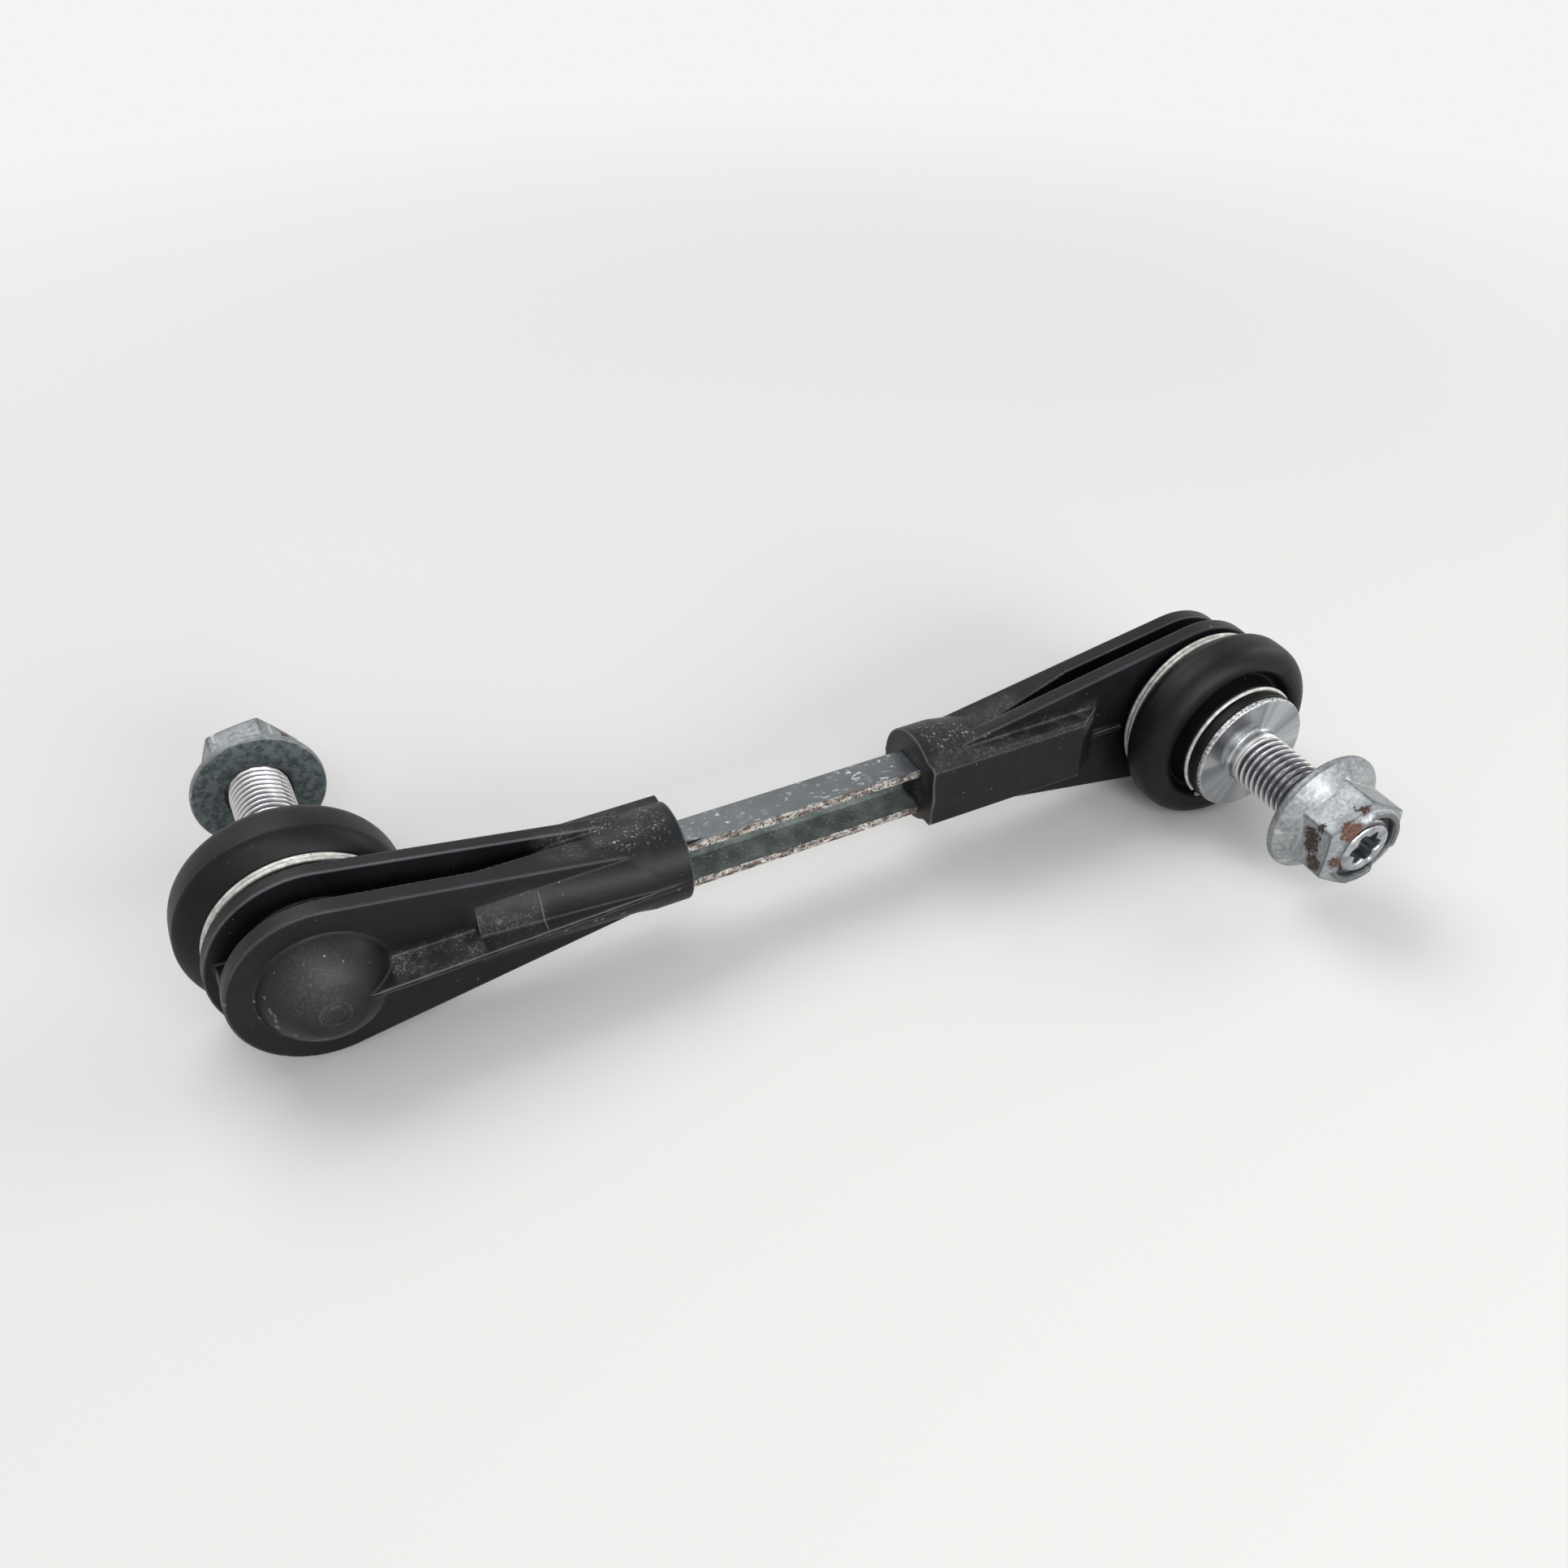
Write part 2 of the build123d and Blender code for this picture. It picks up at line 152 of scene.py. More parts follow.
def roundCorners(points, radius, steps=4, edgeShare=0.48):
    # rounds a profile of (r, level) points; a corner may bring its own radius as a third value,
    # and takes up no more than edgeShare of either edge
    out = [Vector(points[0][:2])]
    for before, here, after in zip(points, points[1:], points[2:]):
        size = here[2] if len(here) > 2 else radius
        corner = Vector(here[:2])
        inward, outward = Vector(before[:2]) - corner, Vector(after[:2]) - corner
        reach = min(size, inward.length * edgeShare, outward.length * edgeShare)
        start, stop = corner + inward.normalized() * reach, corner + outward.normalized() * reach
        for s in range(steps + 1):
            f = s / steps
            out.append(start * (1 - f) ** 2 + corner * 2 * f * (1 - f) + stop * f * f)
    out.append(Vector(points[-1][:2]))
    return [tuple(p) for p in out]


def smoothLine(points, steps):
    # points on a smooth line through the given ones
    out = []
    for i in range(len(points) - 1):
        p0, p1, p2 = Vector(points[max(i - 1, 0)]), Vector(points[i]), Vector(points[i + 1])
        p3 = Vector(points[min(i + 2, len(points) - 1)])
        for k in range(steps):
            f = k / steps
            first, second, third = p2 - p0, 2 * p0 - 5 * p1 + 4 * p2 - p3, 3 * p1 - p0 - 3 * p2 + p3
            out.append(tuple(0.5 * (2 * p1 + first * f + second * f * f + third * f ** 3)))
    out.append(tuple(points[-1]))
    return out


def linear(hexColour):
    # sRGB hex to the linear colour that a socket takes
    values = [int(hexColour[i:i + 2], 16) / 255 for i in (1, 3, 5)]
    return tuple(v / 12.92 if v <= 0.04045 else ((v + 0.055) / 1.055) ** 2.4 for v in values) + (1.0,)


def addNode(tree, kind, *values, out=0, **settings):
    # values go to the inputs in order, settings to inputs by name or to the node's own properties
    made = tree.nodes.new("ShaderNode" + kind)
    named = {key: settings.pop(key) for key in list(settings) if key in made.inputs}
    for key, value in settings.items():
        setattr(made, key, value)
    wanted = list(zip([s for s in made.inputs if s.enabled], values))
    wanted += [(made.inputs[key], value) for key, value in named.items()]
    for socket, value in wanted:
        if isinstance(value, bpy.types.NodeSocket):
            tree.links.new(value, socket)
        elif value is not None:
            socket.default_value = linear(value) if isinstance(value, str) else value
    if isinstance(out, str):
        return made.outputs[out]
    shown = [s for s in made.outputs if s.enabled]
    return shown[out] if shown else made


def startMaterial(name):
    # an empty material and the object's coordinates in millimetres
    material = bpy.data.materials.new(name)
    material.use_nodes = True
    tree = material.node_tree
    tree.nodes.clear()
    place = addNode(tree, "TexCoord", out="Object")
    return material, tree, addNode(tree, "VectorMath", place, (1000, 1000, 1000), operation="MULTIPLY")


def finishMaterial(tree, colour, roughness, height, bumpMm, specular=0.5, **surface):
    normal = addNode(tree, "Bump", Strength=1.0, Distance=bumpMm * mm, Height=height)
    sockets = {"Base Color": colour, "Roughness": roughness, "Normal": normal, "Specular IOR Level": specular}
    shader = addNode(tree, "BsdfPrincipled", **sockets, **surface)
    addNode(tree, "OutputMaterial", shader)


def ownPlace(tree, where, end):
    # the same place in the end's own frame, whole and as u, t and z
    sign = turned[end]
    shift = (-sign * ballAt[end].x / mm, 0, 0)
    own = addNode(tree, "VectorMath", where, (sign, sign, 1), shift, operation="MULTIPLY_ADD")
    axes = addNode(tree, "SeparateXYZ", own).node.outputs
    return own, axes[0], axes[1], axes[2]


def awayFromStud(tree, own):
    flat = addNode(tree, "VectorMath", own, (1, 0, 1), operation="MULTIPLY")
    return addNode(tree, "VectorMath", flat, operation="LENGTH")


def cloud(tree, where, sizeMm, detail=3, stretch=(1, 1, 1)):
    # soft variation whose patches are about sizeMm across
    scaled = addNode(tree, "VectorMath", where, stretch, operation="MULTIPLY")
    return addNode(tree, "TexNoise", scaled, Scale=1 / sizeMm, Detail=detail, Roughness=0.6)


def within(tree, value, low, high, soft):
    # 1 between low and high, fading to 0 over soft
    rise = addNode(tree, "MapRange", value, low - soft / 2, low + soft / 2)
    fall = addNode(tree, "MapRange", value, high + soft / 2, high - soft / 2)
    return addNode(tree, "Math", rise, fall, operation="MULTIPLY")


def boxSides(tree, axes, ranges, soft):
    # one mask for each axis, 1 where the place lies in that axis's range
    return [within(tree, axis, *ends, soft) for axis, ends in zip(axes, ranges)]


def allOf(tree, *masks):
    whole = masks[0]
    for mask in masks[1:]:
        whole = addNode(tree, "Math", whole, mask, operation="MULTIPLY")
    return whole


def anyOf(tree, *masks):
    whole = masks[0]
    for mask in masks[1:]:
        whole = addNode(tree, "Math", whole, mask, operation="MAXIMUM")
    return whole


def weighed(tree, start, *parts):
    # start plus each part times its weight, held between 0 and 1
    total = start
    for part, weight in parts:
        total = addNode(tree, "Math", part, weight, total, operation="MULTIPLY_ADD", use_clamp=True)
    return total


def coated(tree, ground, *coats):
    # a ground colour under its coats, each with the mask of where it lies
    colour = ground
    for mask, coat in coats:
        colour = addNode(tree, "Mix", mask, colour, coat, data_type="RGBA")
    return colour


# In the dictionaries below, a band is the two pattern values between which a layer goes from none to full.

# Bearing shells: acetal, injection moulded. Slick off-white, hidden inside the cup
shell = {
    "base": "#dcdad0", "shade": "#c9c6ba", "roughness": 0.25, "ior": 1.48, "bumpMm": 0.01, "cloudMm": 3.0,
}


def makeAcetal():
    material, tree, where = startMaterial("acetal")
    clouds = cloud(tree, where, shell["cloudMm"], 2)
    colour = coated(tree, shell["base"], (clouds, shell["shade"]))
    rough = weighed(tree, shell["roughness"], (clouds, 0.1))
    finishMaterial(tree, colour, rough, clouds, shell["bumpMm"], IOR=shell["ior"])
    return material


# Housings: glass-filled nylon, injection moulded. Satin black whose fine grain breaks each highlight, paler
# where corners are rubbed, with a painted highlight along the edges, grey dust and pale crust in the hollows,
# and a painted sheen mixed with dust on the dome's upper part
housing = {
    "voxelMm": 0.24, "smoothPasses": 3, "smoothFactor": 0.5,  # ease the corners the way a mould leaves them
    "base": "#0b0c0e", "sheen": "#141518", "wornEdgeAndHighlight": "#85888d", "dust": "#8f8d88", "crust": "#cfcdc7",
    "seam": "#6a665f", "roughness": 0.36, "specular": 0.2, "ior": 1.53, "bumpMm": 0.11,
    "cloudMm": 9.0, "patchMm": 3.2,
    "flowMm": 2.4, "flowStretch": (0.22, 1, 1),  # faint marbling along the melt's flow
    "grainMm": 0.42, "speckMm": 0.5, "crustMm": 0.6, "strayMm": 0.5,  # coarser than real, so that they show
    "sheenBand": (0.35, 0.7), "patchBand": (0.36, 0.66), "speckBand": (0.5, 0.64), "crustBand": (0.61, 0.66),
    "strayBand": (0.79, 0.82),
    "wornEdgeAndHighlightBand": (0.513, 0.545), "hollowBand": (0.485, 0.44),  # of how far the surface bends out or in
    "dustZones": [  # u, t and z from and to, how softly it ends and how thick the dust lies
        ((11, 27), (-11.6, -5.9), (0.6, 2.8), 1.0, 0.75),  # upper face of the rib
        ((27, 38.2), (-9.4, -5.9), (1.0, 7.0), 4.0, 0.55),  # start of the barrel
        ((26.2, 28.2), (-8.4, -5.9), (1.0, 5.5), 1.5, 0.7),  # its front step
        ((41, 53), (-3.5, 3.2), (7.4, 12), 3.0, 0.45),  # where the groove closes
        ((53, 65), (-5, 6.5), (7.9, 11), 3.5, 0.28),  # top of the sleeve
        ((26, 31), (5.4, 9.6), (4.0, 9), 2.0, 0.8),  # foot of the raised pad
        ((31, 66), (5.2, 9.5), (6.4, 8.6), 1.5, 0.35),  # along the pad's upper edge
        ((66.5, 67.5), (-6.5, 6.5), (-9, 7), 3.0, 0.8),  # end of the sleeve, around the bar
    ],
    # a paler patch high on the dome: painted sheen mixed with some dust
    "domeDustAndSheen": {"middle": (-1.5, -10.5, 6.5), "endsAt": 9.5, "fullAt": 2.0, "t": (-20, -5.9, 0.2)},
    "crustZone": ((52, 64.5), (-5.5, 6.5), (7.8, 11), 2.5),  # as a dust zone, without a thickness
    "seamLine": ((38.2, 38.4, 0.15), (-14, -6.1, 0.2), (0.6, 6.6, 0.3)),  # from, to and how softly it ends
}


def makeMouldedNylon(end):
    material, tree, where = startMaterial("mouldedNylon_" + end)
    own, u, t, z = ownPlace(tree, where, end)
    clouds = cloud(tree, where, housing["cloudMm"])
    grain = cloud(tree, where, housing["grainMm"], 2)
    flow = cloud(tree, own, housing["flowMm"], 2, housing["flowStretch"])
    specks = addNode(tree, "MapRange", cloud(tree, where, housing["speckMm"]), *housing["speckBand"])
    patches = addNode(tree, "MapRange", cloud(tree, where, housing["patchMm"]), *housing["patchBand"])
    stray = addNode(tree, "MapRange", cloud(tree, where, housing["strayMm"], 1), *housing["strayBand"])

    zones = []
    for *ranges, soft, depth in housing["dustZones"]:
        zones.append(allOf(tree, *boxSides(tree, (u, t, z), ranges, soft), depth))
    flecked = weighed(tree, 0.08, (patches, 0.12), (allOf(tree, specks, patches), 0.75))
    # on the dome, a paler grainy patch round a point high on its front: painted sheen, partly dust
    dome = housing["domeDustAndSheen"]
    apart = addNode(tree, "VectorMath", own, dome["middle"], operation="DISTANCE")
    nearMiddle = addNode(tree, "MapRange", apart, dome["endsAt"], dome["fullAt"])
    dustAndSheenGrain = weighed(tree, 0.02, (specks, 0.09), (grain, 0.16))
    domeDustAndPaintedSheen = allOf(tree, nearMiddle, within(tree, t, *dome["t"]), dustAndSheenGrain)
    dustAndDomeSheen = anyOf(tree, allOf(tree, anyOf(tree, *zones), flecked), domeDustAndPaintedSheen)

    *crustRanges, crustSoft = housing["crustZone"]
    crustGrains = addNode(tree, "MapRange", cloud(tree, where, housing["crustMm"]), *housing["crustBand"])
    crust = allOf(tree, crustGrains, patches, *boxSides(tree, (u, t, z), crustRanges, crustSoft))
    bend = addNode(tree, "NewGeometry", out="Pointiness")
    # convex edges are paler: partly wear, partly a painted highlight along the edges
    corners = addNode(tree, "MapRange", bend, *housing["wornEdgeAndHighlightBand"])
    wornEdgeAndHighlight = allOf(tree, corners, weighed(tree, 0.2, (clouds, 0.9)))
    hollow = addNode(tree, "MapRange", bend, *housing["hollowBand"])
    seam = allOf(tree, *[within(tree, axis, *side) for axis, side in zip((u, t, z), housing["seamLine"])])

    colour = coated(
        tree, housing["base"],
        (addNode(tree, "MapRange", clouds, *housing["sheenBand"]), housing["sheen"]),
        (weighed(tree, 0.0, (wornEdgeAndHighlight, 0.5)), housing["wornEdgeAndHighlight"]),
        (weighed(tree, 0.0, (dustAndDomeSheen, 1.0), (allOf(tree, hollow, patches), 0.3)), housing["dust"]),
        (anyOf(tree, crust, weighed(tree, 0.0, (stray, 0.6))), housing["crust"]),
        (seam, housing["seam"]))
    rough = weighed(tree, housing["roughness"], (clouds, 0.12), (dustAndDomeSheen, 0.4), (crust, 0.4))
    raised = allOf(tree, dustAndDomeSheen, 0.5)
    height = weighed(tree, 0.2, (grain, 0.28), (flow, 0.14), (specks, raised), (seam, -0.4))
    finishMaterial(tree, colour, rough, height, housing["bumpMm"], housing["specular"], IOR=housing["ior"])
    return material


acetal = makeAcetal()
for end in "ab":
    moulding = dress("housing_" + end, makeMouldedNylon(end))
    remesh = moulding.modifiers.new("easeCorners", "REMESH")
    remesh.mode = "VOXEL"
    remesh.voxel_size = housing["voxelMm"] * mm
    remesh.use_smooth_shade = True
    ease = moulding.modifiers.new("easeEdges", "SMOOTH")
    ease.iterations = housing["smoothPasses"]
    ease.factor = housing["smoothFactor"]
    dress("bearing_shell_" + end, acetal)
print("housings and shells dressed")

# Bar: steel strip, rolled and cut. Satin grey top with pale scuffs, brown and white crumbs along the cut
# edges, a dull green-grey film inside the channel
bar = {
    "edgeMm": 0.22, "edgeSteps": 3, "edgeAngle": 40,  # the broken edges
    "base": "#75797c", "shade": "#52575b", "scuff": "#c9cacb", "film": "#5a6361", "filmPale": "#838b88",
    "torn": "#594b43", "crumb": "#cdcac4", "pit": "#2f2a27", "roughness": 0.34, "bumpMm": 0.16,
    "cloudMm": 4.5, "fineMm": 0.55, "crumbMm": 0.9, "crumbStretch": (0.55, 1, 1),
    "rollMm": 0.4, "rollStretch": (0.04, 1, 1),  # rolling lines along the strip, coarser than real
    "scuffMm": 0.9, "scuffStretch": (0.6, 1.1, 1), "scuffAreaMm": 6.0,
    "scuffBand": (0.57, 0.67), "scuffAreaBand": (0.4, 0.62), "filmBand": (0.4, 0.68),
    "flakeBand": (0.62, 0.68), "crumbBand": (0.42, 0.66), "pitBand": (0.46, 0.38),
    "cutDepth": 0.12, "filmStart": 0.2, "skin": 1.4,  # skin: how far into the wall the outside's look reaches
}


def makeBarSteel():
    material, tree, where = startMaterial("rolledSteel")
    low, high = (Vector(corner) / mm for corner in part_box("bar"))
    axes = addNode(tree, "SeparateXYZ", where).node.outputs
    clouds = cloud(tree, where, bar["cloudMm"], 4)
    fine = cloud(tree, where, bar["fineMm"], 4)
    crumbs = cloud(tree, where, bar["crumbMm"], 4, bar["crumbStretch"])
    rolled = cloud(tree, where, bar["rollMm"], 3, bar["rollStretch"])
    scuffNoise = cloud(tree, where, bar["scuffMm"], 5, bar["scuffStretch"])
    scuffs = addNode(tree, "MapRange", scuffNoise, *bar["scuffBand"])
    scuffArea = addNode(tree, "MapRange", cloud(tree, where, bar["scuffAreaMm"]), *bar["scuffAreaBand"])
    scuffed = allOf(tree, scuffs, scuffArea)
    cutEdge = within(tree, axes["Y"], low.y - 1, low.y + bar["cutDepth"], 0.15)
    inside = allOf(
        tree, within(tree, axes["Y"], low.y + bar["filmStart"], high.y - bar["skin"], 0.1),
        within(tree, axes["Z"], low.z + bar["skin"], high.z - bar["skin"], 0.1))
    steel = coated(
        tree, bar["shade"],
        (clouds, bar["base"]),
        (weighed(tree, 0.0, (rolled, 0.5)), bar["base"]),
        (scuffed, bar["scuff"]))
    film = coated(
        tree, bar["film"],
        (addNode(tree, "MapRange", clouds, *bar["filmBand"]), bar["filmPale"]),
        (addNode(tree, "MapRange", fine, *bar["flakeBand"]), bar["scuff"]))
    torn = coated(
        tree, bar["torn"],
        (addNode(tree, "MapRange", crumbs, *bar["crumbBand"]), bar["crumb"]),
        (addNode(tree, "MapRange", fine, *bar["pitBand"]), bar["pit"]))
    colour = coated(tree, steel, (inside, film), (cutEdge, torn))
    dull = anyOf(tree, cutEdge, inside)
    metal = weighed(tree, 1.0, (dull, -0.75), (scuffed, -0.3))
    rough = weighed(tree, bar["roughness"], (clouds, 0.12), (dull, 0.25), (scuffed, 0.2))
    onEdge = allOf(tree, cutEdge, crumbs)
    height = weighed(tree, 0.3, (rolled, 0.08), (fine, 0.1), (onEdge, 0.7), (scuffed, 0.1))
    finishMaterial(tree, colour, rough, height, bar["bumpMm"], Metallic=metal)
    return material


strip = dress("bar", makeBarSteel())
broken = strip.modifiers.new("brokenEdges", "BEVEL")
broken.width = bar["edgeMm"] * mm
broken.segments = bar["edgeSteps"]
broken.limit_method = "ANGLE"
broken.angle_limit = math.radians(bar["edgeAngle"])
print("bar dressed")

# A sliver of moulding flash that lies on the bar in front of sleeve a: the housings' nylon, torn thin,
# plain black with a coarse grain
flash = {
    "rootU": 66.7, "tipU": 71.6, "t": -3.2, "sway": 0.25, "halfWidth": 0.42, "height": 0.5, "sunk": 0.05,
    "taper": 0.8, "blunt": 0.06, "steps": 12, "sides": 12, "creaseAngle": 50, "bumpMm": 0.05,
}


def makeFlashNylon():
    material, tree, where = startMaterial("mouldedNylonFlash")
    grain = cloud(tree, where, housing["grainMm"], 3)
    colour = coated(tree, housing["base"], (grain, housing["sheen"]))
    rough = weighed(tree, housing["roughness"], (grain, 0.2))
    finishMaterial(tree, colour, rough, grain, flash["bumpMm"], housing["specular"], IOR=housing["ior"])
    return material


def makeFlash(end, material):
    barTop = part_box("bar")[1][2] / mm
    rings = []
    for i in range(flash["steps"] + 1):
        f = i / flash["steps"]
        size = (1 - f) ** flash["taper"] + flash["blunt"]
        u = flash["rootU"] + (flash["tipU"] - flash["rootU"]) * f
        side = flash["t"] - flash["sway"] * math.sin(3 * f)
        ring = []
        for a in circle(flash["sides"]):
            across = flash["halfWidth"] * size * math.cos(a)
            rise = flash["height"] * size * (0.5 + 0.5 * math.sin(a))
            ring.append((u, side + across, barTop - flash["sunk"] + rise))
        rings.append(ring)
    verts, faces = skinRings(end, rings, (rings[0][0], rings[-1][0]))
    piece = newPiece("mouldFlash_" + end, verts, faces, material, "link", flash["creaseAngle"])


makeFlash("a", makeFlashNylon())
print("moulding flash made")

# Ball studs: zinc-plated steel, turned and rolled. Bright silver face with a painted fan of reflection
# streaks, grainy collar edge, painted shade in the thread's grooves between pale crests and in the star
# socket.
# The pilot, thread and tip are drawn over the CAD's plain shank
stud = {
    "face": "#c3c5c8", "shade": "#8b8f95", "edgePale": "#c9cac9", "edgeDark": "#6d7074", "groove": "#605d69",
    "crest": "#dcdbd9", "socket": "#8f9298", "roughness": 0.17, "anisotropy": 0.5, "bumpMm": 0.06,
    "fanPerRadian": 2.2, "cloudMm": 3.5,
    "turningMm": 0.22, "grainMm": 0.45,  # rings left by the tool and grain of the edge, coarser than real
    "paintedFanBand": (0.35, 0.62), "edgeBand": (0.44, 0.56), "edgeWidth": 0.22, "plainTip": 0.35,
    "grooveShadeBand": (5.94, 5.42),  # out from the axis, where the painted shade in a groove starts and where it is darkest
    "socketZone": (7.0, 0.5, 4.4),  # from and to below the tip, and how far out, of the socket's painted shade
    "ballR": 8.0, "neckR": 4.6, "neckEnd": 12.0, "coneEnd": 19.0, "coneR": 7.0,
    "hubR": 11.05, "hubStart": 20.7, "collarUnder": 24.0, "collarFace": 25.3,
    "bevelWidth": 0.35, "bevelDepth": 0.3, "rootFillet": 1.3, "cornerR": 0.3,
    "crestR": 5.98, "rootR": 5.12, "pilotTaper": 0.03, "pitch": 1.5, "threadStart": 27.0, "runout": 1.3,
    "crestFlat": 0.07, "flank": 0.74,  # shares of half the pitch
    "tipR": 5.15, "tipSlope": 1.1, "tipEdge": ((0.12, 0.04), (0.35, 0.0)),  # in from tipR, down from the tip
    "lobes": 6, "lobeR": 3.75, "waistR": 2.7, "lobePower": 0.8,
    "socketLip": ((0.42, 0.0), (0.14, 0.16), (0.0, 0.5)),  # out from the star, down from the tip
    "socketFloor": ((0.0, 5.0), (-0.5, 5.3)), "socketPoint": 5.9,  # its middle, down from the tip
    "sides": 96, "stepMm": 0.1, "ballStep": 6, "creaseAngle": 50,
}


def makeZincPlate(end):
    material, tree, where = startMaterial("zincPlatedSteel_" + end)
    collarR, low, tip = roundSize("ball_stud", end)
    own, u, t, z = ownPlace(tree, where, end)
    away = awayFromStud(tree, own)
    angle = addNode(tree, "Math", z, u, operation="ARCTAN2")
    fan = addNode(tree, "TexNoise", angle, noise_dimensions="1D", Scale=stud["fanPerRadian"], Detail=4.0)
    turning = cloud(tree, addNode(tree, "CombineXYZ", away, t, 0.0), stud["turningMm"], 2)
    clouds = cloud(tree, where, stud["cloudMm"], 4)
    grains = cloud(tree, where, stud["grainMm"], 4)
    edge = within(tree, away, collarR - stud["edgeWidth"], collarR + 1, 0.2)
    thread = within(tree, t, stud["threadStart"] - 0.2, tip - stud["plainTip"], 0.4)
    # painted shade: the thread darkens toward the roots of its grooves
    groove = addNode(tree, "MapRange", away, *stud["grooveShadeBand"])
    deep, shallow, out = stud["socketZone"]
    # painted shade: the star socket is a darker grey inside its recess
    socket = allOf(tree, within(tree, t, tip - deep, tip - shallow, 0.8), within(tree, away, -1, out, 0.4))
    # the face's tone follows a fan of streaks round the axis: painted reflection streaks
    face = coated(
        tree, stud["shade"],
        (addNode(tree, "MapRange", fan, *stud["paintedFanBand"]), stud["face"]),
        (weighed(tree, 0.0, (clouds, 0.3)), stud["shade"]))
    edgeGrains = addNode(tree, "MapRange", grains, *stud["edgeBand"])
    rim = coated(tree, stud["edgeDark"], (edgeGrains, stud["edgePale"]))
    wound = coated(tree, stud["crest"], (groove, stud["groove"]))
    colour = coated(tree, face, (edge, rim), (thread, wound), (socket, stud["socket"]))
    rough = weighed(tree, stud["roughness"], (clouds, 0.1), (edge, 0.24), (thread, 0.07), (fan, 0.06))
    height = weighed(tree, 0.3, (turning, 0.03), (allOf(tree, edge, grains), 0.4), (fan, 0.04))
    tangent = addNode(tree, "Tangent", direction_type="RADIAL", axis="Y")
    finishMaterial(
        tree, colour, rough, height, stud["bumpMm"],
        Metallic=1.0, Anisotropic=stud["anisotropy"], Tangent=tangent)
    return material


def threadRadius(phase):
    fromCrest = abs(phase - 0.5) * 2
    fall = min(max((fromCrest - stud["crestFlat"]) / stud["flank"], 0.0), 1.0)
    return stud["crestR"] - (stud["crestR"] - stud["rootR"]) * fall


def starRadius(angle):
    wave = 0.5 + 0.5 * math.cos(stud["lobes"] * angle)
    return stud["waistR"] + (stud["lobeR"] - stud["waistR"]) * wave ** stud["lobePower"]


def makeStud(end):
    collarR, low, tip = roundSize("ball_stud", end)
    angles = circle(stud["sides"])
    neckStart = math.sqrt(stud["ballR"] ** 2 - stud["neckR"] ** 2)
    neckAngle = 180 - math.degrees(math.asin(stud["neckR"] / stud["ballR"]))
    profile = []
    # the ball, from its pole to the neck
    for degrees in range(stud["ballStep"], int(neckAngle), stud["ballStep"]):
        turn = math.radians(degrees)
        profile.append((stud["ballR"] * math.sin(turn), -stud["ballR"] * math.cos(turn)))
    profile += roundCorners([
        (stud["neckR"], neckStart), (stud["neckR"], stud["neckEnd"]),
        (stud["coneR"], stud["coneEnd"]), (stud["coneR"], stud["hubStart"]),
        (stud["hubR"], stud["hubStart"]), (stud["hubR"], stud["collarUnder"]),
        (collarR, stud["collarUnder"]), (collarR, stud["collarFace"] - stud["bevelDepth"]),
        (collarR - stud["bevelWidth"], stud["collarFace"]),
        (stud["crestR"], stud["collarFace"], stud["rootFillet"]),
        (stud["crestR"] - stud["pilotTaper"], stud["threadStart"] + stud["stepMm"]),
    ], stud["cornerR"], 5)
    rings = [ringAt(r, level, angles) for r, level in profile]

    def shankRadius(a, t):
        wound = threadRadius((t / stud["pitch"] - a / (2 * math.pi)) % 1.0)
        lead = smoothStep(t, stud["threadStart"], stud["threadStart"] + stud["runout"])
        chamfer = stud["tipR"] + (tip - t) * stud["tipSlope"]
        return min(stud["crestR"] + (wound - stud["crestR"]) * lead, chamfer)

    steps = int((tip - stud["stepMm"] - stud["threadStart"]) / stud["stepMm"])
    for i in range(1, steps + 1):
        t = stud["threadStart"] + stud["stepMm"] + i * stud["stepMm"]
        rings.append(ringAt(lambda a: shankRadius(a, t), t, angles))
    for inward, down in stud["tipEdge"]:
        rings.append(ringAt(stud["tipR"] - inward, tip - down, angles))
    for outward, down in (*stud["socketLip"], *stud["socketFloor"]):
        rings.append(ringAt(lambda a: starRadius(a) + outward, tip - down, angles))
    verts, faces = skinRings(end, rings, ((0, low, 0), (0, tip - stud["socketPoint"], 0)))
    piece = newPiece("stud_" + end, verts, faces, makeZincPlate(end), "stud_" + end, stud["creaseAngle"])
    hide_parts("ball_stud_" + end)


for end in "ab":
    makeStud(end)
print("studs made")
